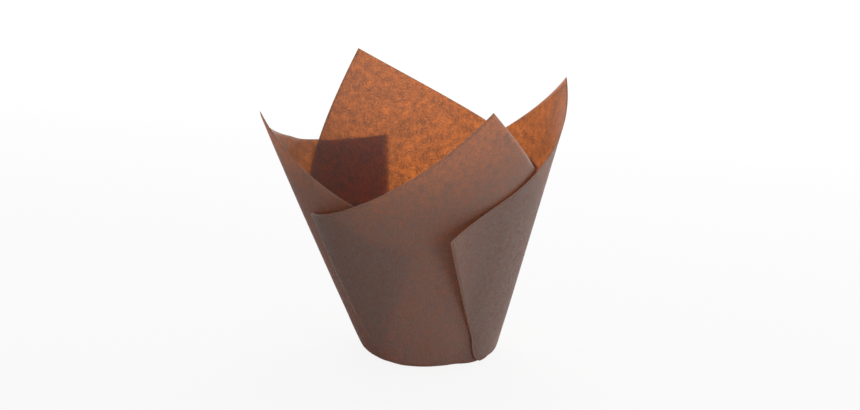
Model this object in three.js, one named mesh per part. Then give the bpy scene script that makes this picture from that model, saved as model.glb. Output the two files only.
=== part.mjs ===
// Tulip baking cup: one square sheet of baking paper, slit in from each side and folded up round a flat base.
// The origin is the middle of the base, on the face the cup stands on. Millimetres, with +Z up.
import * as THREE from 'three';

// The sheet
const SHEET_SIDE = 176;
const BASE_DIAMETER = 46;
const PAPER_THICKNESS = 0.3;
const SLIT_WIDTH = 1.2;
const SLIT_START = 3; // from the base circle out to the slit's round end

// The fold from the base up into the wall
const FOLD_ON_BASE = 2;
const FOLD_ON_WALL = 2.5; // at the middle of a petal
const FOLD_AT_SLIT = 7; // added to that at a slit

// How the four petals lie on each other
const LAYER_GAP = 0.9;
const SLIT_LIFT = 4; // length over which one slit edge comes off the other
const SLIT_SPREAD = 14; // length over which they slide past each other
const JOIN_ANGLE = 24; // degrees on each side of a slit over which two petals share the fold
const BASE_TURN = 6; // degrees, seen from above
const CURL_START = 9; // up the wall from the base circle
const CURL_LENGTH = 55;

// Petals from the front, clockwise seen from above. Each is bent to a fan of straight lines from one point.
// fan: depth of that point below the base circle. foot: how far outside the circle the petal's middle stands.
// turn, lean, sideLean and twist are degrees. bend: how tightly the fan turns, as a sum of powers of its angle.
// tip, first and last: how far the corner and the two slit corners are from those of a true square.
const PETALS = [
  {
    name: 'front',
    fan: 49.5,
    foot: 0.5,
    turn: 7,
    lean: 20.9,
    sideLean: 0.3,
    twist: 8.6,
    bend: [3.13, -0.54, -0.52, -0.21],
    curl: 0.5,
    tip: [-6.8, 5.8],
    first: [0, 1.2],
    last: [2.4, -3.4],
  },
  {
    name: 'left',
    fan: 58.2,
    foot: 0.4,
    turn: -14.5,
    lean: 24.9,
    sideLean: -6.1,
    twist: 5.5,
    bend: [3.17, -1.05, -0.33, 0.24],
    curl: 0.7,
    tip: [-19.2, 4],
    first: [11.1, 17.6],
    last: [-6.5, -4.5],
  },
  {
    name: 'back',
    fan: 49.1,
    foot: 0.4,
    turn: 3.4,
    lean: 21.7,
    sideLean: 17.7,
    twist: 2.2,
    bend: [3.06, 0.05, 0.18, 0.13],
    curl: -2.7,
    tip: [1, 4.7],
    first: [5.1, 3.2],
    last: [1.9, -13.1],
  },
  {
    name: 'right',
    fan: 24.2,
    foot: 0.7,
    turn: 0.9,
    lean: 15.3,
    sideLean: -4.1,
    twist: 1.1,
    bend: [2.77, 0.23, -2.99, -0.01],
    curl: 0,
    tip: [-7.9, 2.5],
    first: [6.8, 0.4],
    last: [14, 0.3],
  },
];

// How finely the sheet is drawn
const COLUMNS = 24; // across each petal
const BASE_ROWS = 4;
const FOLD_ROWS = 5;
const WALL_ROWS = 9;
const SLIT_END_STEPS = 4;
const FAN_STEPS = 76;
const FAN_REACH = 0.95; // radians on each side of a petal's middle
const FAN_UNIT = 0.5; // radians, the angle that bend counts as one

const BASE_RADIUS = BASE_DIAMETER / 2;
const HALF_SIDE = SHEET_SIDE / 2;
const MIDDLE = PAPER_THICKNESS / 2;
const FLAT_RADIUS = BASE_RADIUS - FOLD_ON_BASE;
const WALL_RADIUS = BASE_RADIUS + FOLD_ON_WALL + FOLD_AT_SLIT;
const SLIT_RADIUS = BASE_RADIUS + SLIT_START;
const UP = new THREE.Vector3(0, 0, 1);

const { degToRad, smoothstep } = THREE.MathUtils;

function around(degrees) {
  const angle = degToRad(degrees);
  return new THREE.Vector3(Math.cos(angle), Math.sin(angle), 0);
}

// Grows smoothly from nothing: near zero while value is negative, near value while it is positive
function onlyPositive(value, softness) {
  return softness * Math.log1p(Math.exp(Math.min(value / softness, 30)));
}

// One quarter of the sheet. Its flat x runs along the slit it covers, its flat y along the slit it is tucked under.
class Petal {
  constructor(sizes, index) {
    Object.assign(this, sizes);
    this.azimuth = -90 - 90 * index + BASE_TURN;
    const out = around(this.azimuth + this.turn);
    const along = new THREE.Vector3().crossVectors(UP, out);
    const sideways = out.clone().multiplyScalar(Math.cos(degToRad(this.sideLean)));
    sideways.addScaledVector(along, Math.sin(degToRad(this.sideLean)));
    const line = UP.clone().multiplyScalar(Math.cos(degToRad(this.lean)));
    line.addScaledVector(sideways, Math.sin(degToRad(this.lean)));
    const across = along.clone().addScaledVector(line, -along.dot(line)).normalize();
    across.applyAxisAngle(line, degToRad(this.twist));
    this.apex = out.multiplyScalar(BASE_RADIUS + this.foot);
    this.apex.addScaledVector(line, -(this.fan + BASE_RADIUS));
    this.fanLines = this.turnFan(line, across);
  }

  // The straight lines of the fan, with the direction across each and the way into the cup
  turnFan(line, across) {
    const step = (2 * FAN_REACH) / FAN_STEPS;
    const middle = FAN_STEPS / 2;
    const lines = new Array(FAN_STEPS + 1);
    const inward = new THREE.Vector3().crossVectors(line, across);
    lines[middle] = { line, across, inward, angle: 0 };
    for (const way of [1, -1]) {
      for (let i = middle; i + way >= 0 && i + way <= FAN_STEPS; i += way) {
        const last = lines[i];
        const part = (last.angle + (way * step) / 2) / FAN_UNIT;
        const bend = this.bend.reduce((sum, size, power) => sum + size * part ** power, 0);
        const axis = last.inward.clone().addScaledVector(last.line, bend);
        const angle = axis.length() * step * way;
        axis.normalize();
        lines[i + way] = {
          line: last.line.clone().applyAxisAngle(axis, angle),
          across: last.across.clone().applyAxisAngle(axis, angle),
          inward: last.inward.clone().applyAxisAngle(axis, angle),
          angle: last.angle + way * step,
        };
      }
    }
    return lines;
  }

  // How far the paper curls into the cup, at a distance from the fan's point
  curled(reach) {
    const past = Math.max(reach - this.fan - BASE_RADIUS - CURL_START, 0) / CURL_LENGTH;
    return this.curl * past * past;
  }

  // The point of the bent petal for a point of the flat one
  bent(x, y) {
    const forward = (x + y) / Math.SQRT2 + this.fan;
    const sideways = (y - x) / Math.SQRT2;
    const reach = Math.hypot(forward, sideways);
    const angle = Math.atan2(sideways, forward);
    const place = THREE.MathUtils.clamp(((angle + FAN_REACH) / (2 * FAN_REACH)) * FAN_STEPS, 0, FAN_STEPS - 1e-6);
    const low = this.fanLines[Math.floor(place)];
    const high = this.fanLines[Math.floor(place) + 1];
    const share = place - Math.floor(place);
    const line = low.line.clone().lerp(high.line, share).normalize();
    const inward = low.inward.clone().lerp(high.inward, share).normalize();
    return this.apex.clone().addScaledVector(line, reach).addScaledVector(inward, this.curled(reach));
  }

  // How far outside this petal a point lies, and which flat point it lies over
  under(point) {
    const offset = point.clone().sub(this.apex);
    const nearest = this.fanLines.reduce((best, next) => (offset.dot(next.line) > offset.dot(best.line) ? next : best));
    const angle = nearest.angle + Math.atan2(offset.dot(nearest.across), offset.dot(nearest.line));
    const reach = offset.length();
    const forward = reach * Math.cos(angle) - this.fan;
    const sideways = reach * Math.sin(angle);
    return {
      gap: this.curled(reach) - offset.dot(nearest.inward),
      outward: nearest.inward.clone().negate(),
      x: (forward - sideways) / Math.SQRT2,
      y: (forward + sideways) / Math.SQRT2,
    };
  }
}

const petals = PETALS.map((sizes, index) => new Petal(sizes, index));
const petalAt = (index) => petals[(index + petals.length) % petals.length];

// The flat base, with the same flat x and y as a petal's
function onBase(index, x, y) {
  const azimuth = petalAt(index).azimuth - 45 + THREE.MathUtils.radToDeg(Math.atan2(y, x));
  return around(azimuth).multiplyScalar(Math.hypot(x, y)).setZ(MIDDLE);
}

// A petal's wall, held off the petal that it covers
function onWall(index, x, y) {
  const point = petalAt(index).bent(x, y);
  const cover = petalAt(index + 1).under(point);
  const lift = onlyPositive(PAPER_THICKNESS + LAYER_GAP - cover.gap, 0.3);
  const overPaper = smoothstep(cover.x, -8, 0) * (1 - smoothstep(cover.y, HALF_SIDE, HALF_SIDE + 8));
  const ownSide = smoothstep(x - y, -0.1 * HALF_SIDE, 0.15 * HALF_SIDE);
  return point.addScaledVector(cover.outward, lift * overPaper * ownSide);
}

// Base, fold and wall as one smooth sheet
function folded(index, x, y) {
  const radius = Math.hypot(x, y);
  const fromMiddle = Math.min(Math.abs(Math.atan2(y, x) / degToRad(45) - 1), 1);
  const foldEnd = BASE_RADIUS + FOLD_ON_WALL + FOLD_AT_SLIT * fromMiddle ** 2;
  if (radius <= FLAT_RADIUS) return onBase(index, x, y);
  if (radius >= foldEnd) return onWall(index, x, y);
  const inner = FLAT_RADIUS / radius;
  const outer = foldEnd / radius;
  const low = onBase(index, x * inner, y * inner);
  const high = onWall(index, x * outer, y * outer);
  const { apex } = petalAt(index);
  const corner = apex.clone().lerp(high, (MIDDLE - apex.z) / (high.z - apex.z)).setZ(0);
  corner.setLength(Math.max(corner.length(), FLAT_RADIUS + FOLD_ON_BASE / 2)).setZ(MIDDLE);
  const along = (radius - FLAT_RADIUS) / (foldEnd - FLAT_RADIUS);
  return low
    .multiplyScalar((1 - along) ** 2)
    .addScaledVector(corner, 2 * along * (1 - along))
    .addScaledVector(high, along ** 2);
}

// The folded sheet, where two petals share the paper round the end of the slit between them
function onSheet(index, x, y) {
  const point = folded(index, x, y);
  const angle = THREE.MathUtils.radToDeg(Math.atan2(y, x));
  const fromSlit = angle < 45 ? angle : 90 - angle;
  const other = angle < 45 ? folded(index + 1, -y, x) : folded(index + 3, y, -x);
  const pastEnd = Math.hypot(x, y) - SLIT_RADIUS;
  const share = 0.5 * (1 - smoothstep(fromSlit, 0, JOIN_ANGLE));
  const step = other.sub(point);
  const outward = point.clone().setZ(0).normalize();
  outward.multiplyScalar(step.dot(outward));
  point.addScaledVector(step.sub(outward), share * (1 - smoothstep(pastEnd, 0.2, SLIT_SPREAD)));
  return point.addScaledVector(outward, share * (1 - smoothstep(pastEnd, 0.2, SLIT_LIFT)));
}

// The middle surface of the paper
const points = [];
const faces = [];

function addPoint(index, x, y) {
  points.push(onSheet(index, x, y));
  return points.length - 1;
}

function addStrip(inside, outside) {
  for (let i = 0; i + 1 < inside.length; i += 1) {
    faces.push([inside[i], outside[i], outside[i + 1]], [inside[i], outside[i + 1], inside[i + 1]]);
  }
}

function columnAngle(column) {
  return degToRad((90 * column) / COLUMNS);
}

// Points on rings of the base, shared by neighbouring petals at the slits
const centre = points.push(new THREE.Vector3(0, 0, MIDDLE)) - 1;
const innerRadius = SLIT_RADIUS - 1.7 * SLIT_WIDTH;
const rings = [];
for (let row = 0; row <= BASE_ROWS; row += 1) {
  const radius = FLAT_RADIUS + ((innerRadius - FLAT_RADIUS) * row) / BASE_ROWS;
  rings.push(
    petals.map((_, index) =>
      Array.from({ length: COLUMNS }, (_unused, column) => {
        const angle = columnAngle(column);
        return addPoint(index, radius * Math.cos(angle), radius * Math.sin(angle));
      }),
    ),
  );
}
const flatPoints = new Set([centre, ...rings[0].flat()]);

function quarterRing(ring, index) {
  return [...ring[index], ring[(index + 3) % petals.length][0]];
}

petals.forEach((petal, index) => {
  const first = quarterRing(rings[0], index);
  for (let i = 0; i < COLUMNS; i += 1) faces.push([centre, first[i], first[i + 1]]);
  for (let row = 0; row < BASE_ROWS; row += 1) {
    addStrip(quarterRing(rings[row], index), quarterRing(rings[row + 1], index));
  }
});

// A point on the petal's cut outline, from its first slit corner by the tip to its last
function outline(petal, column) {
  const first = [HALF_SIDE + petal.first[0], petal.first[1]];
  const tip = [HALF_SIDE + petal.tip[0], HALF_SIDE + petal.tip[1]];
  const last = [petal.last[0], HALF_SIDE + petal.last[1]];
  const half = COLUMNS / 2;
  const [from, to] = column < half ? [first, tip] : [tip, last];
  const share = (column % half) / half;
  if (column === COLUMNS) return last;
  return [from[0] + (to[0] - from[0]) * share, from[1] + (to[1] - from[1]) * share];
}

function petalStart(column) {
  const half = SLIT_WIDTH / 2;
  if (column === 0) return [SLIT_RADIUS, half];
  if (column === COLUMNS) return [half, SLIT_RADIUS];
  return [SLIT_RADIUS * Math.cos(columnAngle(column)), SLIT_RADIUS * Math.sin(columnAngle(column))];
}

const petalRows = petals.map((petal, index) => {
  const rows = [];
  for (let row = 0; row <= FOLD_ROWS + WALL_ROWS; row += 1) {
    rows.push(
      Array.from({ length: COLUMNS + 1 }, (_unused, column) => {
        const [x0, y0] = petalStart(column);
        const [x1, y1] = outline(petal, column);
        const foldShare = (WALL_RADIUS - SLIT_RADIUS) / Math.hypot(x1 - x0, y1 - y0);
        const inFold = Math.min(row / FOLD_ROWS, 1) * foldShare;
        const inWall = Math.max((row - FOLD_ROWS) / WALL_ROWS, 0) * (1 - foldShare);
        return addPoint(index, x0 + (x1 - x0) * (inFold + inWall), y0 + (y1 - y0) * (inFold + inWall));
      }),
    );
  }
  for (let row = 0; row + 1 < rows.length; row += 1) addStrip(rows[row], rows[row + 1]);
  addStrip(quarterRing(rings[BASE_ROWS], index), rows[0]);
  return rows;
});

// Round slit ends
const slitEnds = [];
petals.forEach((petal, index) => {
  const below = (index + 1) % petals.length;
  const slitPoint = rings[BASE_ROWS][index][0];
  const end = [petalRows[below][0][COLUMNS]];
  for (let step = 1; step < SLIT_END_STEPS; step += 1) {
    const angle = Math.PI * (step / SLIT_END_STEPS - 0.5);
    const x = SLIT_RADIUS - (SLIT_WIDTH / 2) * Math.cos(angle);
    const y = (SLIT_WIDTH / 2) * Math.sin(angle);
    end.push(y < 0 ? addPoint(below, -y, x) : addPoint(index, x, y));
  }
  end.push(petalRows[index][0][0]);
  for (let i = 0; i < SLIT_END_STEPS; i += 1) faces.push([slitPoint, end[i], end[i + 1]]);
  slitEnds.push([slitPoint, end]);
});

// The way out of the paper at each point, on its upper side
const normals = points.map(() => new THREE.Vector3());
for (const [a, b, c] of faces) {
  const edge = points[b].clone().sub(points[a]);
  const normal = edge.cross(points[c].clone().sub(points[a]));
  for (const corner of [a, b, c]) normals[corner].add(normal);
}
normals.forEach((normal, i) => (flatPoints.has(i) ? normal.copy(UP) : normal.normalize()));
for (const [slitPoint, end] of slitEnds) {
  for (const i of end) normals[i].copy(normals[slitPoint]);
}

// Upper side, lower side and the cut edge between them
const count = points.length;
const positions = [1, -1].flatMap((side) =>
  points.flatMap((point, i) => point.clone().addScaledVector(normals[i], side * MIDDLE).toArray()),
);
const triangles = [];
const openEdges = new Map();
for (const [a, b, c] of faces) {
  triangles.push(a, b, c, a + count, c + count, b + count);
  for (const [from, to] of [[a, b], [b, c], [c, a]]) {
    if (!openEdges.delete(`${to} ${from}`)) openEdges.set(`${from} ${to}`, [from, to]);
  }
}
for (const [from, to] of openEdges.values()) {
  triangles.push(to, from, from + count, to, from + count, to + count);
}

const geometry = new THREE.BufferGeometry();
geometry.setAttribute('position', new THREE.Float32BufferAttribute(positions, 3));
geometry.setIndex(triangles);
geometry.computeVertexNormals();

const paper = new THREE.MeshStandardMaterial({
  name: 'brown baking paper',
  color: new THREE.Color(0x7a4f3e),
  roughness: 0.85,
  metalness: 0,
  side: THREE.DoubleSide,
});
const cup = new THREE.Mesh(geometry, paper);
cup.name = 'tulip_cup';

const part = new THREE.Group();
part.name = 'tulip_baking_cup';
part.add(cup);

export default part;
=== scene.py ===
"""Tulip baking cup: one slit square of baking paper, folded up round a base. Blender 4.5, metres, +Z up."""

import logging
import math
from dataclasses import dataclass, field
from enum import Enum
from typing import ClassVar

import bmesh
import bpy
import numpy as np
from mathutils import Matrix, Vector

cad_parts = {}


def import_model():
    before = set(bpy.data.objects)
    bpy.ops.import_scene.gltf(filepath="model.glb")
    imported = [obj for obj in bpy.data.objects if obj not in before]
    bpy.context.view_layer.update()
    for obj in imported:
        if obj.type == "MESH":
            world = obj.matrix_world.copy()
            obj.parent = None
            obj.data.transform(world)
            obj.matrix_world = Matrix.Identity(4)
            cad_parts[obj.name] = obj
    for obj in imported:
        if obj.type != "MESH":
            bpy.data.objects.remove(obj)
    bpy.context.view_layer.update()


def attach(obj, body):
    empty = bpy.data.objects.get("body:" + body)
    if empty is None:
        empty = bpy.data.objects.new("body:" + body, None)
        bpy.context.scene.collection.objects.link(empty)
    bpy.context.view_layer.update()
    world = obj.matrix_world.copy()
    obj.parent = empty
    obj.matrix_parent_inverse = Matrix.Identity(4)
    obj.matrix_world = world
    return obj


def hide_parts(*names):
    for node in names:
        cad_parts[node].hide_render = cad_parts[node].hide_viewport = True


log = logging.getLogger("tulip_cup")

MM = 0.001
RIGHT_ANGLE = 90.0
HALF_RIGHT_ANGLE = RIGHT_ANGLE / 2.0
TINY = 1e-6
WHITE = (1.0, 1.0, 1.0, 1.0)


def unit(vectors: np.ndarray) -> np.ndarray:
    """Returns the vectors at length one."""
    return vectors / np.linalg.norm(vectors, axis=-1, keepdims=True)


def dot(a: np.ndarray, b: np.ndarray) -> np.ndarray:
    """Returns the dot product of each pair of vectors, kept as a column."""
    return np.sum(a * b, axis=-1, keepdims=True)


def smooth(value: np.ndarray, low: float, high: float) -> np.ndarray:
    """Returns 0 below low, 1 above high, and a smooth step between."""
    share = np.clip((value - low) / (high - low), 0.0, 1.0)
    return share * share * (3.0 - 2.0 * share)


def around(degrees: float) -> np.ndarray:
    """Returns the level direction at an angle from +X, seen from above."""
    angle = math.radians(degrees)
    return np.array([math.cos(angle), math.sin(angle), 0.0])


def turned(vector: np.ndarray, axis: np.ndarray, angle: float) -> np.ndarray:
    """Turns a vector about an axis.

    Args:
        vector: What is turned.
        axis: The axis, of length one.
        angle: Radians, right-handed.

    Returns:
        The turned vector.
    """
    cosine, sine = math.cos(angle), math.sin(angle)
    return vector * cosine + np.cross(axis, vector) * sine + axis * np.dot(axis, vector) * (1.0 - cosine)


class PetalName(Enum):
    """The four petals, clockwise from the front as seen from above."""

    FRONT = 0
    LEFT = 1
    BACK = 2
    RIGHT = 3


@dataclass(frozen=True)
class SheetSizes:
    """The flat sheet and the way it folds, in millimetres and degrees.

    The sheet, its slits and its petals are those of the part's source. The paper is thinner here and folds
    more tightly round the base. The gather sizes bunch it at one slit's end, which the part's source doesn't.
    """

    side: float = 176.0
    base_diameter: float = 46.0
    slit_width: float = 1.2
    slit_start: float = 3.0
    fold_on_base: float = 2.0
    fold_on_wall: float = 1.4
    fold_at_slit: float = 8.1
    layer_gap: float = 1.2
    slit_lift: float = 4.0
    slit_spread: float = 14.0
    join_angle: float = 24.0
    base_turn: float = 6.0
    curl_start: float = 9.0
    curl_length: float = 55.0
    lift_softness: float = 0.3
    lift_border: float = 8.0
    own_side_from: float = -0.1
    own_side_to: float = 0.15
    thickness: float = 0.16
    gather_turn: float = -13.0
    gather_out: float = 2.4
    gather_reach: float = 14.0
    gather_sink: float = 0.6

    @property
    def base_radius(self) -> float:
        """Radius of the base circle."""
        return self.base_diameter / 2.0

    @property
    def half_side(self) -> float:
        """From the sheet's middle to the middle of a side."""
        return self.side / 2.0

    @property
    def flat_radius(self) -> float:
        """Radius of the part of the base that stays flat."""
        return self.base_radius - self.fold_on_base

    @property
    def wall_radius(self) -> float:
        """Flat radius at which the fold has ended everywhere."""
        return self.base_radius + self.fold_on_wall + self.fold_at_slit

    @property
    def slit_radius(self) -> float:
        """Flat radius at which the slits end."""
        return self.base_radius + self.slit_start


@dataclass(frozen=True)
class PetalSizes:
    """How one petal leans, bends and ends, in millimetres and degrees, as in the part's source.

    The petal is a fan of straight lines from one point, which lies deeper than the base circle by fan. Its
    middle stands outside that circle by foot. Turn, lean, side_lean and twist set how the middle line stands.
    Bend says how tightly the fan turns, as a sum of powers of its angle, and curl is how far the top comes
    in. Tip, first and last move the sheet's corners from a true square's.
    """

    name: PetalName
    fan: float
    foot: float
    turn: float
    lean: float
    side_lean: float
    twist: float
    bend: tuple[float, float, float, float]
    curl: float
    tip: tuple[float, float]
    first: tuple[float, float]
    last: tuple[float, float]


PETALS = (
    PetalSizes(
        name=PetalName.FRONT,
        fan=49.5,
        foot=0.5,
        turn=7.0,
        lean=20.9,
        side_lean=0.3,
        twist=8.6,
        bend=(3.13, -0.54, -0.52, -0.21),
        curl=0.5,
        tip=(-6.8, 5.8),
        first=(0.0, 1.2),
        last=(2.4, -3.4),
    ),
    PetalSizes(
        name=PetalName.LEFT,
        fan=58.2,
        foot=0.4,
        turn=-14.5,
        lean=24.9,
        side_lean=-6.1,
        twist=5.5,
        bend=(3.17, -1.05, -0.33, 0.24),
        curl=0.7,
        tip=(-19.2, 4.0),
        first=(11.1, 17.6),
        last=(-6.5, -4.5),
    ),
    PetalSizes(
        name=PetalName.BACK,
        fan=49.1,
        foot=0.4,
        turn=3.4,
        lean=21.7,
        side_lean=17.7,
        twist=2.2,
        bend=(3.06, 0.05, 0.18, 0.13),
        curl=-2.7,
        tip=(1.0, 4.7),
        first=(5.1, 3.2),
        last=(1.9, -13.1),
    ),
    PetalSizes(
        name=PetalName.RIGHT,
        fan=24.2,
        foot=0.7,
        turn=0.9,
        lean=15.3,
        side_lean=-4.1,
        twist=1.1,
        bend=(2.77, 0.23, -2.99, -0.01),
        curl=0.0,
        tip=(-7.9, 2.5),
        first=(6.8, 0.4),
        last=(14.0, 0.3),
    ),
)


class BentPetal:
    """A quarter of the sheet, bent to a fan of straight lines that leave one point."""

    STEPS = 152
    REACH = 0.95
    UNIT = 0.5

    def __init__(self, sizes: PetalSizes, sheet: SheetSizes) -> None:
        """Stands the petal on the base circle and turns out its fan.

        Args:
            sizes: The petal's lean, bend and corners.
            sheet: The sheet that it is part of.
        """
        self.sizes = sizes
        self.sheet = sheet
        self.azimuth = -RIGHT_ANGLE - RIGHT_ANGLE * sizes.name.value + sheet.base_turn
        out = around(self.azimuth + sizes.turn)
        up = np.array([0.0, 0.0, 1.0])
        along = np.cross(up, out)
        side, lean = math.radians(sizes.side_lean), math.radians(sizes.lean)
        sideways = out * math.cos(side) + along * math.sin(side)
        line = up * math.cos(lean) + sideways * math.sin(lean)
        across = unit(along - line * np.dot(along, line))
        across = turned(across, line, math.radians(sizes.twist))
        self.apex = out * (sheet.base_radius + sizes.foot) - line * (sizes.fan + sheet.base_radius)
        self.angles = np.linspace(-self.REACH, self.REACH, self.STEPS + 1)
        self.lines, self.across, self.inward = self._turn_fan(line, across)

    def _turn_fan(self, line: np.ndarray, across: np.ndarray) -> tuple[np.ndarray, np.ndarray, np.ndarray]:
        """Turns the fan's frame step by step to both sides.

        Args:
            line: The straight line up the petal's middle.
            across: The direction across it, in the paper.

        Returns:
            The lines, the directions across them and the ways into the cup.
        """
        middle = self.STEPS // 2
        step = 2.0 * self.REACH / self.STEPS
        frames = np.zeros((self.STEPS + 1, 3, 3))
        frames[middle] = line, across, np.cross(line, across)
        for way in (1, -1):
            i = middle
            while 0 <= i + way <= self.STEPS:
                part = (self.angles[i] + way * step / 2.0) / self.UNIT
                bend = sum(size * part**power for power, size in enumerate(self.sizes.bend))
                axis = frames[i][2] + frames[i][0] * bend
                angle = float(np.linalg.norm(axis)) * step * way
                axis = unit(axis)
                frames[i + way] = [turned(direction, axis, angle) for direction in frames[i]]
                i += way
        return frames[:, 0], frames[:, 1], frames[:, 2]

    @property
    def flat_turn(self) -> float:
        """How far the petal's flat points are turned on the base, in degrees."""
        return self.azimuth - HALF_RIGHT_ANGLE

    def _between(self, rows: np.ndarray, angle: np.ndarray) -> np.ndarray:
        """Returns directions between those of the fan, at length one."""
        return unit(np.stack([np.interp(angle, self.angles, rows[:, axis]) for axis in range(3)], axis=-1))

    def curled(self, reach: np.ndarray) -> np.ndarray:
        """Works out how far the paper curls into the cup.

        Args:
            reach: Distances from the fan's point.

        Returns:
            The curl at each distance, in millimetres.
        """
        start = self.sizes.fan + self.sheet.base_radius + self.sheet.curl_start
        past = np.maximum(reach - start, 0.0) / self.sheet.curl_length
        return self.sizes.curl * past**2

    def bent(self, flat: np.ndarray) -> np.ndarray:
        """Bends points of the flat petal.

        Args:
            flat: Flat points, with x and y along the slits on its two sides.

        Returns:
            The points of the bent petal.
        """
        forward = (flat[:, 0] + flat[:, 1]) / math.sqrt(2.0) + self.sizes.fan
        sideways = (flat[:, 1] - flat[:, 0]) / math.sqrt(2.0)
        reach = np.hypot(forward, sideways)[:, None]
        angle = np.arctan2(sideways, forward)
        lifted = self._between(self.inward, angle) * self.curled(reach)
        return self.apex + self._between(self.lines, angle) * reach + lifted

    def under(self, points: np.ndarray) -> tuple[np.ndarray, np.ndarray, np.ndarray]:
        """Finds what of this petal lies under some points.

        Args:
            points: Points outside the petal.

        Returns:
            How far outside each is, the way out there, and the flat point below it.
        """
        offset = points - self.apex
        nearest = np.argmax(offset @ self.lines.T, axis=1)
        turn = np.arctan2(dot(offset, self.across[nearest]), dot(offset, self.lines[nearest]))[:, 0]
        angle = self.angles[nearest] + turn
        reach = np.linalg.norm(offset, axis=1)
        inward = self._between(self.inward, angle)
        forward = reach * np.cos(angle) - self.sizes.fan
        sideways = reach * np.sin(angle)
        flat = np.stack([forward - sideways, forward + sideways], axis=-1) / math.sqrt(2.0)
        return self.curled(reach) - dot(offset, inward)[:, 0], -inward, flat


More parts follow.
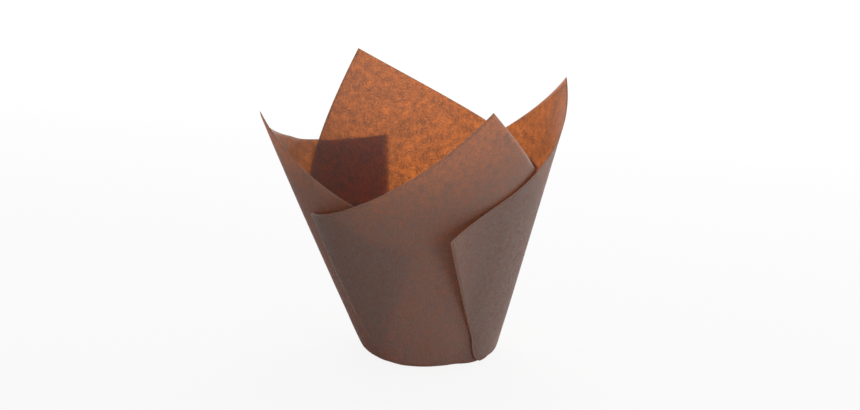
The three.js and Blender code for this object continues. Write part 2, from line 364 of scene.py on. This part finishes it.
@dataclass
class FoldedSheet:
    """The whole sheet: it places any point of the flat sheet on the folded cup."""

    AT_END: ClassVar[float] = 0.2
    GREATEST_POWER: ClassVar[float] = 30.0

    sizes: SheetSizes = field(default_factory=SheetSizes)

    def __post_init__(self) -> None:
        """Bends the four petals."""
        self.petals = [BentPetal(sizes, self.sizes) for sizes in PETALS]

    def petal(self, index: int) -> BentPetal:
        """Returns a petal by its place, counted round and round."""
        return self.petals[index % len(self.petals)]

    def on_base(self, index: int, flat: np.ndarray) -> np.ndarray:
        """Lays flat points on the base.

        Args:
            index: The petal's place.
            flat: Flat points of that petal's quarter.

        Returns:
            Points in millimetres, at the height of the table.
        """
        turn = math.radians(self.petal(index).flat_turn)
        angle = np.arctan2(flat[:, 1], flat[:, 0]) + turn
        radius = np.hypot(flat[:, 0], flat[:, 1])
        return np.stack([radius * np.cos(angle), radius * np.sin(angle), 0.0 * radius], axis=-1)

    def on_wall(self, index: int, flat: np.ndarray) -> np.ndarray:
        """Places flat points on a petal's wall, held off the petal that it covers.

        Args:
            index: The petal's place.
            flat: Flat points of that petal's quarter.

        Returns:
            Points in millimetres.
        """
        sizes = self.sizes
        points = self.petal(index).bent(flat)
        gap, outward, below = self.petal(index + 1).under(points)
        soft, border, edge = sizes.lift_softness, sizes.lift_border, sizes.half_side
        power = np.minimum((sizes.layer_gap - gap) / soft, self.GREATEST_POWER)
        lift = soft * np.log1p(np.exp(power))
        over_paper = smooth(below[:, 0], -border, 0.0) * (1.0 - smooth(below[:, 1], edge, edge + border))
        own_side = smooth(flat[:, 0] - flat[:, 1], sizes.own_side_from * edge, sizes.own_side_to * edge)
        return points + outward * (lift * over_paper * own_side)[:, None]

    def folded(self, index: int, flat: np.ndarray) -> np.ndarray:
        """Joins base, fold and wall to one smooth sheet.

        Args:
            index: The petal's place.
            flat: Flat points of that petal's quarter.

        Returns:
            Points in millimetres.
        """
        sizes = self.sizes
        radius = np.maximum(np.hypot(flat[:, 0], flat[:, 1]), TINY)
        angle = np.arctan2(flat[:, 1], flat[:, 0])
        to_slit = np.clip(np.abs(angle / math.radians(HALF_RIGHT_ANGLE) - 1.0), 0.0, 1.0)
        fold_end = sizes.base_radius + sizes.fold_on_wall + sizes.fold_at_slit * to_slit**2
        low = self.on_base(index, flat * (sizes.flat_radius / radius)[:, None])
        high = self.on_wall(index, flat * (fold_end / radius)[:, None])
        apex = self.petal(index).apex
        corner = apex + (high - apex) * (-apex[2] / (high[:, 2:] - apex[2]))
        corner[:, 2] = 0.0
        distance = np.linalg.norm(corner, axis=1, keepdims=True)
        corner *= np.maximum(distance, sizes.flat_radius + sizes.fold_on_base / 2.0) / distance
        along = np.clip((radius - sizes.flat_radius) / (fold_end - sizes.flat_radius), 0.0, 1.0)[:, None]
        fold = low * (1.0 - along) ** 2 + corner * 2.0 * along * (1.0 - along) + high * along**2
        points = np.where((radius >= fold_end)[:, None], self.on_wall(index, flat), fold)
        return np.where((radius <= sizes.flat_radius)[:, None], self.on_base(index, flat), points)

    def on_sheet(self, index: int, flat: np.ndarray) -> np.ndarray:
        """Returns the folded sheet, with two petals sharing the paper round the slit's end between them.

        Args:
            index: The petal's place.
            flat: Flat points, with x along the slit it covers and y along the other.

        Returns:
            Points in millimetres.
        """
        sizes = self.sizes
        points = self.folded(index, flat)
        angle = np.degrees(np.arctan2(flat[:, 1], flat[:, 0]))
        before = self.folded(index + 1, np.stack([-flat[:, 1], flat[:, 0]], axis=-1))
        after = self.folded(index + 3, np.stack([flat[:, 1], -flat[:, 0]], axis=-1))
        other = np.where((angle < HALF_RIGHT_ANGLE)[:, None], before, after)
        from_slit = np.where(angle < HALF_RIGHT_ANGLE, angle, RIGHT_ANGLE - angle)
        past_end = (np.hypot(flat[:, 0], flat[:, 1]) - sizes.slit_radius)[:, None]
        share = 0.5 * (1.0 - smooth(from_slit, 0.0, sizes.join_angle))[:, None]
        step = other - points
        level = points * np.array([1.0, 1.0, 0.0])
        level /= np.maximum(np.linalg.norm(level, axis=1, keepdims=True), TINY)
        outward = level * dot(step, level)
        spread = (step - outward) * share * (1.0 - smooth(past_end, self.AT_END, sizes.slit_spread))
        joined = points + spread + outward * share * (1.0 - smooth(past_end, self.AT_END, sizes.slit_lift))
        return self.gathered(joined)

    def gathered(self, points: np.ndarray) -> np.ndarray:
        """Draws the paper round, out and down at the end of the slit between the right and front petals.

        Args:
            points: Points of the folded sheet, in millimetres.

        Returns:
            The points, with those near the slit's end bunched there.
        """
        sizes = self.sizes
        end = around(self.petals[PetalName.RIGHT.value].flat_turn) * sizes.slit_radius
        near = 1.0 - smooth(np.linalg.norm(points - end, axis=1), 0.0, sizes.gather_reach)
        radius = np.hypot(points[:, 0], points[:, 1]) + sizes.gather_out * near
        angle = np.arctan2(points[:, 1], points[:, 0]) + math.radians(sizes.gather_turn) * near
        height = points[:, 2] * (1.0 - sizes.gather_sink * near)
        return np.stack([radius * np.cos(angle), radius * np.sin(angle), height], axis=-1)


@dataclass
class SheetMesh:
    """Draws the folded sheet's outer face in rows of quads, which also lie on the flat sheet."""

    CENTRE: ClassVar[float] = 1e-4
    INNER_RINGS: ClassVar[tuple[float, ...]] = (0.3, 0.6, 0.85)
    RING_TO_SLIT: ClassVar[float] = 1.7
    FAR: ClassVar[float] = 1e3

    sheet: FoldedSheet
    columns: int = 84
    base_rows: int = 10
    fold_rows: int = 16
    wall_rows: int = 46
    slit_steps: int = 8
    flats: list[np.ndarray] = field(default_factory=list)
    owners: list[np.ndarray] = field(default_factory=list)
    faces: list[tuple[int, ...]] = field(default_factory=list)
    count: int = 0

    def add(self, index: int, flat: np.ndarray) -> list[int]:
        """Adds flat points of one petal.

        Args:
            index: The petal's place.
            flat: One flat point, or a row of them.

        Returns:
            The points' numbers.
        """
        flat = np.atleast_2d(flat)
        self.flats.append(flat)
        self.owners.append(np.full(len(flat), index))
        self.count += len(flat)
        return list(range(self.count - len(flat), self.count))

    def strip(self, inside: list[int], outside: list[int]) -> None:
        """Adds a row of quads between two lines of points."""
        for i in range(len(inside) - 1):
            self.faces.append((inside[i], outside[i], outside[i + 1], inside[i + 1]))

    def outline(self, index: int) -> np.ndarray:
        """Draws the petal's cut outline, from its first slit corner by the tip to its last.

        Args:
            index: The petal's place.

        Returns:
            Flat points in millimetres.
        """
        sizes, half = self.sheet.petal(index).sizes, self.sheet.sizes.half_side
        first = np.array([half + sizes.first[0], sizes.first[1]])
        tip = np.array([half + sizes.tip[0], half + sizes.tip[1]])
        last = np.array([sizes.last[0], half + sizes.last[1]])
        share = np.linspace(0.0, 1.0, self.columns // 2 + 1)[:, None]
        return np.vstack([first + (tip - first) * share[:-1], tip + (last - tip) * share])

    def start(self) -> np.ndarray:
        """Returns the flat points where a petal's rows begin, at the slits' ends."""
        sizes = self.sheet.sizes
        angle = np.linspace(0.0, math.pi / 2.0, self.columns + 1)
        points = sizes.slit_radius * np.stack([np.cos(angle), np.sin(angle)], axis=-1)
        points[0] = sizes.slit_radius, sizes.slit_width / 2.0
        points[-1] = sizes.slit_width / 2.0, sizes.slit_radius
        return points

    def draw(self) -> None:
        """Lays out base, fold, petals and round slit ends."""
        sizes, petals = self.sheet.sizes, range(len(self.sheet.petals))
        centre = self.add(0, np.full(2, self.CENTRE))[0]
        angle = np.linspace(0.0, math.pi / 2.0, self.columns + 1)[:-1]
        ray = np.stack([np.cos(angle), np.sin(angle)], axis=-1)
        inner = sizes.slit_radius - self.RING_TO_SLIT * sizes.slit_width
        radii = [sizes.flat_radius * share for share in self.INNER_RINGS]
        radii += list(np.linspace(sizes.flat_radius, inner, self.base_rows))
        rings = [[self.add(index, radius * ray) for index in petals] for radius in radii]
        quarters = [[ring[i] + ring[i - 1][:1] for i in petals] for ring in rings]
        rows = {index: self.petal_rows(index) for index in petals}
        for index in petals:
            first = quarters[0][index]
            self.faces += [(centre, first[i], first[i + 1]) for i in range(self.columns)]
            lines = [ring[index] for ring in quarters] + rows[index]
            for low, high in zip(lines, lines[1:]):
                self.strip(low, high)
        for index in petals:
            self.slit_end(index, rings[-1][index][0], rows)

    def petal_rows(self, index: int) -> list[list[int]]:
        """Adds the rows of one petal, from the slits' ends out to its cut outline.

        Args:
            index: The petal's place.

        Returns:
            The numbers of each row's points.
        """
        start, outline = self.start(), self.outline(index)
        across = self.sheet.sizes.wall_radius - self.sheet.sizes.slit_radius
        fold = across / np.linalg.norm(outline - start, axis=1, keepdims=True)
        shares = [fold * i / self.fold_rows for i in range(self.fold_rows)]
        shares += [fold + (1.0 - fold) * i / self.wall_rows for i in range(self.wall_rows + 1)]
        return [self.add(index, start + (outline - start) * share) for share in shares]

    def slit_end(self, index: int, point: int, rows: dict[int, list[list[int]]]) -> None:
        """Rounds off the inner end of the slit beside a petal.

        Args:
            index: The petal that covers the slit.
            point: The ring point just inside the slit.
            rows: Every petal's rows of point numbers.
        """
        sizes, below = self.sheet.sizes, (index + 1) % len(self.sheet.petals)
        end = [rows[below][0][-1]]
        for step in range(1, self.slit_steps):
            angle = math.pi * (step / self.slit_steps - 0.5)
            x = sizes.slit_radius - sizes.slit_width / 2.0 * math.cos(angle)
            y = sizes.slit_width / 2.0 * math.sin(angle)
            if y < 0.0:
                end += self.add(below, np.array([-y, x]))
            else:
                end += self.add(index, np.array([x, y]))
        end.append(rows[index][0][0])
        self.faces += [(point, end[i], end[i + 1]) for i in range(self.slit_steps)]

    def places(self) -> tuple[np.ndarray, np.ndarray]:
        """Folds every point.

        Returns:
            The folded points and their places on the flat sheet, both in millimetres.
        """
        flat, owner = np.vstack(self.flats), np.concatenate(self.owners)
        points, sheet = np.zeros((self.count, 3)), np.zeros((self.count, 2))
        for index in range(len(self.sheet.petals)):
            mine = owner == index
            points[mine] = self.sheet.on_sheet(index, flat[mine])
            turn = math.radians(self.sheet.petal(index).flat_turn)
            cosine, sine = math.cos(turn), math.sin(turn)
            sheet[mine, 0] = flat[mine, 0] * cosine - flat[mine, 1] * sine
            sheet[mine, 1] = flat[mine, 0] * sine + flat[mine, 1] * cosine
        return points, sheet

    def from_edge(self) -> np.ndarray:
        """Measures how far each point is from the nearest cut.

        Returns:
            Distances on the flat sheet, in millimetres.
        """
        flat, owner = np.vstack(self.flats), np.concatenate(self.owners)
        distance = np.full(self.count, self.FAR)
        for index in range(len(self.sheet.petals)):
            mine = owner == index
            start, outline = self.start(), self.outline(index)
            half = self.columns // 2
            path = [start[0], outline[0], outline[half], outline[-1], start[-1]]
            for low, high in zip(path, path[1:]):
                offset, span = flat[mine] - low, high - low
                share = np.clip(offset @ span / (span @ span), 0.0, 1.0)[:, None]
                distance[mine] = np.minimum(distance[mine], np.linalg.norm(offset - span * share, axis=1))
        return distance


class Value:
    """A number socket that can be used in sums."""

    def __init__(self, graph: "Graph", socket: bpy.types.NodeSocket) -> None:
        """Keeps the socket and the tree it is in."""
        self.graph = graph
        self.socket = socket

    def _sum(self, operation: str, first: object, second: object) -> "Value":
        """Adds a Math node and returns its result."""
        node = self.graph.node("ShaderNodeMath", {"operation": operation}, {0: first, 1: second})
        return Value(self.graph, node.outputs[0])

    def __add__(self, other: object) -> "Value":
        """Returns self + other."""
        return self._sum("ADD", self, other)

    def __radd__(self, other: object) -> "Value":
        """Returns other + self."""
        return self._sum("ADD", other, self)

    def __sub__(self, other: object) -> "Value":
        """Returns self - other."""
        return self._sum("SUBTRACT", self, other)

    def __rsub__(self, other: object) -> "Value":
        """Returns other - self."""
        return self._sum("SUBTRACT", other, self)

    def __mul__(self, other: object) -> "Value":
        """Returns self * other."""
        return self._sum("MULTIPLY", self, other)

    def __rmul__(self, other: object) -> "Value":
        """Returns other * self."""
        return self._sum("MULTIPLY", other, self)

    def stepped(self, low: float, high: float) -> "Value":
        """Returns 0 below low, 1 above high, and a smooth step between."""
        settings = {"interpolation_type": "SMOOTHSTEP"}
        node = self.graph.node("ShaderNodeMapRange", settings, {"Value": self, 1: low, 2: high})
        return Value(self.graph, node.outputs[0])


class Graph:
    """A node tree that is filled through one method."""

    def __init__(self, tree: bpy.types.NodeTree) -> None:
        """Empties the tree."""
        self.tree = tree
        tree.nodes.clear()

    def node(self, kind: str, settings: dict[str, object], sockets: dict[object, object]) -> bpy.types.Node:
        """Adds a node.

        Args:
            kind: The node's type.
            settings: Its own settings, set first.
            sockets: Values or links, by input name or number.

        Returns:
            The node.
        """
        node = self.tree.nodes.new(kind)
        for name, value in settings.items():
            setattr(node, name, value)
        for name, value in sockets.items():
            if isinstance(value, Value):
                self.tree.links.new(value.socket, node.inputs[name])
            elif isinstance(value, bpy.types.NodeSocket):
                self.tree.links.new(value, node.inputs[name])
            else:
                node.inputs[name].default_value = value
        return node

    def noise(self, place: object, scale: object, seed: object, detail: float, roughness: float) -> Value:
        """Adds a noise texture.

        Args:
            place: The socket that says where it is read, in metres.
            scale: About how many lumps there are in a metre.
            seed: Which noise it is.
            detail: How many finer layers it has.
            roughness: How strong the finer layers are.

        Returns:
            The noise, between 0 and 1.
        """
        sockets = {"Vector": place, "W": seed, "Scale": scale, "Detail": detail, "Roughness": roughness}
        node = self.node("ShaderNodeTexNoise", {"noise_dimensions": "4D"}, sockets)
        return Value(self, node.outputs["Fac"])

    def blend(self, share: Value, low: object, high: object) -> bpy.types.NodeSocket:
        """Mixes two colours.

        Args:
            share: 0 for the first and 1 for the second.
            low: The first colour, or its socket.
            high: The second colour, or its socket.

        Returns:
            The mixed colour's socket.
        """
        settings = {"data_type": "RGBA", "clamp_factor": True}
        node = self.node("ShaderNodeMix", settings, {0: share, 6: low, 7: high})
        return node.outputs[2]


@dataclass(frozen=True)
class Unevenness:
    """One kind of unevenness in the paper, and its share in how thick the paper is."""

    per_metre: float
    detail: float
    seed: float
    share: float


@dataclass(frozen=True)
class BakingPaper:
    """Brown greaseproof paper: a dull face, an orange glow with cloudy fibres against the light, and a
    painted highlight along its cut edges.
    """

    name: str = "brown baking paper"
    face: tuple[float, float, float, float] = (0.3, 0.23, 0.202, 1.0)
    face_thick: tuple[float, float, float, float] = (0.168, 0.126, 0.109, 1.0)
    # Paler colour of the painted highlight where the cut edges catch the light.
    painted_edge_highlight: tuple[float, float, float, float] = (0.42, 0.32, 0.27, 1.0)
    glow: tuple[float, float, float, float] = (0.775, 0.395, 0.17, 1.0)
    see_through: float = 0.5
    mottle: float = 0.52
    roughness: float = 0.7
    roughness_spread: float = 0.2
    specular: float = 0.25
    sheen: float = 0.1
    sheen_roughness: float = 0.4
    clouds: Unevenness = Unevenness(per_metre=130.0, detail=2.0, seed=1.0, share=0.14)
    flocs: Unevenness = Unevenness(per_metre=420.0, detail=3.0, seed=2.0, share=0.34)
    fibres: Unevenness = Unevenness(per_metre=1700.0, detail=2.0, seed=3.0, share=0.52)
    noise_roughness: float = 0.55
    thick_band: tuple[float, float] = (0.3, 0.7)
    relief_of_flocs: float = 0.3
    relief_of_fibres: float = 0.7
    relief_strength: float = 0.25
    relief_depth: float = 0.00005
    # Width in metres from the cut, strength, and loss of see-through of the painted highlight along the cut
    # edges.
    edge_highlight_band: tuple[float, float] = (0.00005, 0.0003)
    edge_highlight_share: float = 0.5
    edge_highlight_blocks_light: float = 0.4

    def uneven(self, graph: Graph, flat: bpy.types.NodeSocket, kind: Unevenness) -> Value:
        """Adds one kind of unevenness, read on the flat sheet."""
        return graph.noise(flat, kind.per_metre, kind.seed, kind.detail, self.noise_roughness)

    def material(self) -> bpy.types.Material:
        """Builds the paper's material on the flat sheet's own UV map.

        Returns:
            The material: a dull face mixed with light that comes through, more of it where the paper is thin,
                and a painted highlight along the cut edges that also lets less light through there.
        """
        material = bpy.data.materials.new(self.name)
        material.use_nodes = True
        graph = Graph(material.node_tree)
        flat = graph.node("ShaderNodeUVMap", {"uv_map": "flat_sheet"}, {}).outputs[0]
        edge_node = graph.node("ShaderNodeAttribute", {"attribute_name": "from_edge"}, {})
        from_edge = Value(graph, edge_node.outputs["Fac"])
        clouds = self.uneven(graph, flat, self.clouds)
        flocs = self.uneven(graph, flat, self.flocs)
        fibres = self.uneven(graph, flat, self.fibres)
        thick = clouds * self.clouds.share + flocs * self.flocs.share + fibres * self.fibres.share
        thick = thick.stepped(*self.thick_band)
        face = graph.blend(thick, self.face, self.face_thick)
        # Painted highlight: a paler band within a fraction of a millimetre of each cut, standing in for the
        # cut edge catching the light.
        edge = (1.0 - from_edge.stepped(*self.edge_highlight_band)) * self.edge_highlight_share
        colour = graph.blend(edge, face, self.painted_edge_highlight)
        rough = self.roughness + (fibres - 0.5) * self.roughness_spread
        height = flocs * self.relief_of_flocs + fibres * self.relief_of_fibres
        sockets = {"Height": height, "Strength": self.relief_strength, "Distance": self.relief_depth}
        bump = graph.node("ShaderNodeBump", {}, sockets)
        sockets = {
            "Base Color": colour,
            "Roughness": rough,
            "Specular IOR Level": self.specular,
            "Sheen Weight": self.sheen,
            "Sheen Roughness": self.sheen_roughness,
            "Normal": bump.outputs[0],
        }
        dull = graph.node("ShaderNodeBsdfPrincipled", {}, sockets)
        through = graph.node("ShaderNodeBsdfTranslucent", {}, {"Color": self.glow})
        share = (self.see_through + self.mottle * 0.5) - thick * self.mottle
        # The painted edge highlight also lets less light through the paper at the cuts.
        share = share * (1.0 - edge * self.edge_highlight_blocks_light)
        mixed = graph.node("ShaderNodeMixShader", {}, {0: share, 1: dull.outputs[0], 2: through.outputs[0]})
        graph.node("ShaderNodeOutputMaterial", {}, {"Surface": mixed.outputs[0]})
        return material


@dataclass(frozen=True)
class StudioFloor:
    """A plain white table that keeps a faint shadow of the cup."""

    colour: tuple[float, float, float, float] = (0.9, 0.9, 0.9, 1.0)
    roughness: float = 0.9
    whiteness: float = 0.88
    reach: float = 6.0

    def build(self) -> bpy.types.Object:
        """Builds the floor, mostly white to the camera and dull to the lamps.

        Returns:
            The floor.
        """
        mesh = bpy.data.meshes.new("studio_floor")
        shape = bmesh.new()
        bmesh.ops.create_grid(shape, x_segments=1, y_segments=1, size=self.reach)
        shape.to_mesh(mesh)
        shape.free()
        floor = bpy.data.objects.new("studio_floor", mesh)
        bpy.context.collection.objects.link(floor)
        material = bpy.data.materials.new("studio floor")
        material.use_nodes = True
        graph = Graph(material.node_tree)
        sockets = {"Base Color": self.colour, "Roughness": self.roughness, "Specular IOR Level": 0.0}
        dull = graph.node("ShaderNodeBsdfPrincipled", {}, sockets)
        white = graph.node("ShaderNodeEmission", {}, {"Color": WHITE, "Strength": 1.0})
        seen = Value(graph, graph.node("ShaderNodeLightPath", {}, {}).outputs["Is Camera Ray"])
        sockets = {0: seen * self.whiteness, 1: dull.outputs[0], 2: white.outputs[0]}
        mixed = graph.node("ShaderNodeMixShader", {}, sockets)
        graph.node("ShaderNodeOutputMaterial", {}, {"Surface": mixed.outputs[0]})
        mesh.materials.append(material)
        return floor


@dataclass
class PaperSheetTree:
    """The node tree that crumples an open sheet a little and gives it its thickness."""

    INPUTS: ClassVar[tuple[str, ...]] = ("Thickness", "Crumple", "Creases per metre", "Seed")
    CREASE_DETAIL: ClassVar[float] = 2.0
    CREASE_ROUGHNESS: ClassVar[float] = 0.5

    name: str = "paper sheet"
    identifiers: dict[str, str] = field(default_factory=dict)

    def build(self, material: bpy.types.Material) -> bpy.types.NodeTree:
        """Builds the tree.

        Args:
            material: What the sheet is made of.

        Returns:
            The tree, with its inputs' identifiers kept in identifiers.
        """
        tree = bpy.data.node_groups.new(self.name, "GeometryNodeTree")
        tree.interface.new_socket("Geometry", in_out="INPUT", socket_type="NodeSocketGeometry")
        for title in self.INPUTS:
            socket = tree.interface.new_socket(title, in_out="INPUT", socket_type="NodeSocketFloat")
            self.identifiers[title] = socket.identifier
        tree.interface.new_socket("Geometry", in_out="OUTPUT", socket_type="NodeSocketGeometry")
        graph = Graph(tree)
        given = graph.node("NodeGroupInput", {}, {}).outputs
        size = {name: Value(graph, given[name]) for name in self.identifiers}
        kept = "GeometryNodeInputNamedAttribute"
        place = graph.node(kept, {"data_type": "FLOAT_VECTOR"}, {"Name": "crease_place"})
        soft = graph.node(kept, {"data_type": "FLOAT"}, {"Name": "softness"})
        creases, seed = size["Creases per metre"], size["Seed"]
        noise = graph.noise(place.outputs[0], creases, seed, self.CREASE_DETAIL, self.CREASE_ROUGHNESS)
        lump = noise - 0.5
        height = lump * size["Crumple"] * Value(graph, soft.outputs[0])
        normal = graph.node("GeometryNodeInputNormal", {}, {}).outputs[0]
        shift = graph.node("ShaderNodeVectorMath", {"operation": "SCALE"}, {0: normal, "Scale": height})
        moved = graph.node("GeometryNodeSetPosition", {}, {"Geometry": given[0], "Offset": shift.outputs[0]})
        sheet = moved.outputs[0]
        sockets = {"Mesh": sheet, "Offset Scale": size["Thickness"], "Individual": False}
        top = graph.node("GeometryNodeExtrudeMesh", {"mode": "FACES"}, sockets).outputs[0]
        bottom = graph.node("GeometryNodeFlipFaces", {}, {"Mesh": sheet}).outputs[0]
        both = graph.node("GeometryNodeJoinGeometry", {}, {})
        tree.links.new(top, both.inputs[0])
        tree.links.new(bottom, both.inputs[0])
        sockets = {"Geometry": both.outputs[0], "Distance": TINY}
        closed = graph.node("GeometryNodeMergeByDistance", {}, sockets).outputs[0]
        plain = graph.node("GeometryNodeRealizeInstances", {}, {"Geometry": closed}).outputs[0]
        dressed = graph.node("GeometryNodeSetMaterial", {}, {"Geometry": plain, "Material": material})
        graph.node("NodeGroupOutput", {}, {"Geometry": dressed.outputs[0]})
        return tree


@dataclass
class TulipCup:
    """The cup: its folded sheet, crumpled and thickened, in baking paper. Its lengths are in millimetres."""

    sheet: FoldedSheet = field(default_factory=FoldedSheet)
    paper: BakingPaper = field(default_factory=BakingPaper)
    crumple: float = 1.1
    creases_per_metre: float = 60.0
    seed: float = 4.0
    soft_from: float = 3.0
    firm_from: float = 4.0
    firm_to: float = 30.0
    firmness: float = 0.75
    crease_length: float = 90.0
    crease_scale: float = 1.6

    def outer_face(self) -> bpy.types.Object:
        """Builds the open sheet, with its place on the flat sheet and its softness on every point.

        Returns:
            The open sheet.
        """
        drawing = SheetMesh(self.sheet)
        drawing.draw()
        points, flat = drawing.places()
        mesh = bpy.data.meshes.new("paper_cup")
        mesh.from_pydata((points * MM).tolist(), [], drawing.faces)
        corner_points = np.array([loop.vertex_index for loop in mesh.loops])
        layer = mesh.uv_layers.new(name="flat_sheet")
        layer.data.foreach_set("uv", (flat[corner_points] * MM).ravel())
        self._store(mesh, "from_edge", "FLOAT", drawing.from_edge() * MM)
        radius = np.hypot(flat[:, 0], flat[:, 1])
        sizes = self.sheet.sizes
        past_fold = radius - sizes.base_radius
        fold = smooth(radius, sizes.flat_radius, sizes.base_radius + self.soft_from)
        soft = fold * (1.0 - self.firmness * smooth(past_fold, self.firm_from, self.firm_to))
        self._store(mesh, "softness", "FLOAT", soft)
        angle = np.arctan2(flat[:, 1], flat[:, 0])
        place = np.stack([np.cos(angle), np.sin(angle), radius / self.crease_length], axis=-1)
        place *= sizes.base_radius * self.crease_scale * MM
        self._store(mesh, "crease_place", "FLOAT_VECTOR", place)
        cup = bpy.data.objects.new("paper_cup", mesh)
        bpy.context.collection.objects.link(cup)
        return cup

    def _store(self, mesh: bpy.types.Mesh, name: str, kind: str, values: np.ndarray) -> None:
        """Keeps a number or a vector on each of the mesh's points.

        Args:
            mesh: The mesh.
            name: What the values are kept as.
            kind: FLOAT or FLOAT_VECTOR.
            values: One value or one row for each point.
        """
        layer = mesh.attributes.new(name, kind, "POINT")
        field_name = "value" if kind == "FLOAT" else "vector"
        layer.data.foreach_set(field_name, np.ascontiguousarray(values, float).ravel())

    def build(self) -> bpy.types.Object:
        """Builds the finished cup as one plain mesh.

        Returns:
            The cup.
        """
        cup = self.outer_face()
        material = self.paper.material()
        tree = PaperSheetTree()
        modifier = cup.modifiers.new("paper sheet", "NODES")
        modifier.node_group = tree.build(material)
        values = (self.sheet.sizes.thickness * MM, self.crumple * MM, self.creases_per_metre, self.seed)
        for title, value in zip(tree.INPUTS, values):
            modifier[tree.identifiers[title]] = value
        depsgraph = bpy.context.evaluated_depsgraph_get()
        made = bpy.data.meshes.new_from_object(cup.evaluated_get(depsgraph), depsgraph=depsgraph)
        cup.modifiers.clear()
        cup.data = made
        made.name = "paper_cup"
        for face in made.polygons:
            face.use_smooth = True
        log.info("paper_cup: %d points, %d faces", len(made.vertices), len(made.polygons))
        return cup


@dataclass(frozen=True)
class SoftBox:
    """A soft lamp that faces the cup, with its place and size in metres."""

    name: str
    place: tuple[float, float, float]
    size: tuple[float, float]
    watts: float
    aim: tuple[float, float, float] = (0.0, 0.0, 0.05)

    def build(self) -> bpy.types.Object:
        """Hangs the lamp and returns it."""
        lamp = bpy.data.lights.new(self.name, "AREA")
        lamp.shape = "RECTANGLE"
        lamp.size, lamp.size_y = self.size
        lamp.energy = self.watts
        thing = bpy.data.objects.new(self.name, lamp)
        thing.location = self.place
        towards = Vector(self.aim) - Vector(self.place)
        thing.rotation_euler = towards.to_track_quat("-Z", "Y").to_euler()
        bpy.context.collection.objects.link(thing)
        return thing


@dataclass(frozen=True)
class Studio:
    """The white room: soft light all round, and a wide low lamp that shines through the paper."""

    room: float = 0.33
    lamps: tuple[SoftBox, ...] = (
        SoftBox("back_light", (0.2, 0.8, 0.1), (1.9, 0.19), 20.0),
        SoftBox("high_light", (0.0, 0.5, 0.72), (0.4, 0.3), 0.65),
        SoftBox("front_light", (0.5, -0.8, 0.2), (0.35, 0.4), 2.5),
        SoftBox("left_light", (-0.3, -0.88, 0.07), (0.6, 0.14), 1.0),
        SoftBox("right_light", (0.7, 0.1, 0.08), (0.5, 0.16), 1.5),
    )

    def build(self) -> None:
        """Lights the room, white to the camera."""
        world = bpy.data.worlds.new("white room")
        bpy.context.scene.world = world
        world.use_nodes = True
        graph = Graph(world.node_tree)
        path = graph.node("ShaderNodeLightPath", {}, {}).outputs
        seen = Value(graph, path["Is Camera Ray"]) + Value(graph, path["Is Glossy Ray"])
        strength = self.room + seen.stepped(0.0, 1.0) * (1.0 - self.room)
        white = graph.node("ShaderNodeBackground", {}, {"Color": WHITE, "Strength": strength})
        graph.node("ShaderNodeOutputWorld", {}, {"Surface": white.outputs[0]})
        for lamp in self.lamps:
            lamp.build()


@dataclass(frozen=True)
class PhotoCamera:
    """A long lens in front of the cup and a little above it, in degrees and millimetres."""

    elevation: float = 14.2
    distance: float = 831.1
    target: tuple[float, float, float] = (0.37, 0.0, 51.5)
    lens: float = 100.34
    sensor: float = 36.0
    nearest_seen: float = 50.0
    farthest_seen: float = 50000.0

    def build(self) -> bpy.types.Object:
        """Places the camera and makes it the scene's.

        Returns:
            The camera.
        """
        data = bpy.data.cameras.new("photo_camera")
        data.sensor_width = self.sensor
        data.lens = self.lens
        angle = math.radians(self.elevation)
        back = Vector((0.0, -math.cos(angle), math.sin(angle)))
        camera = bpy.data.objects.new("photo_camera", data)
        camera.location = (Vector(self.target) + back * self.distance) * MM
        camera.rotation_euler = (-back).to_track_quat("-Z", "Y").to_euler()
        data.clip_start, data.clip_end = self.nearest_seen * MM, self.farthest_seen * MM
        bpy.context.collection.objects.link(camera)
        bpy.context.scene.camera = camera
        return camera


def main() -> None:
    """Builds the cup, its studio and its camera in order."""
    logging.basicConfig(level=logging.INFO)
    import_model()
    bpy.context.scene.view_settings.view_transform = "Standard"
    PhotoCamera().build()
    Studio().build()
    StudioFloor().build()
    cup = TulipCup().build()
    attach(cup, "root")
    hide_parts("tulip_cup")


if __name__ == "__main__":
    main()
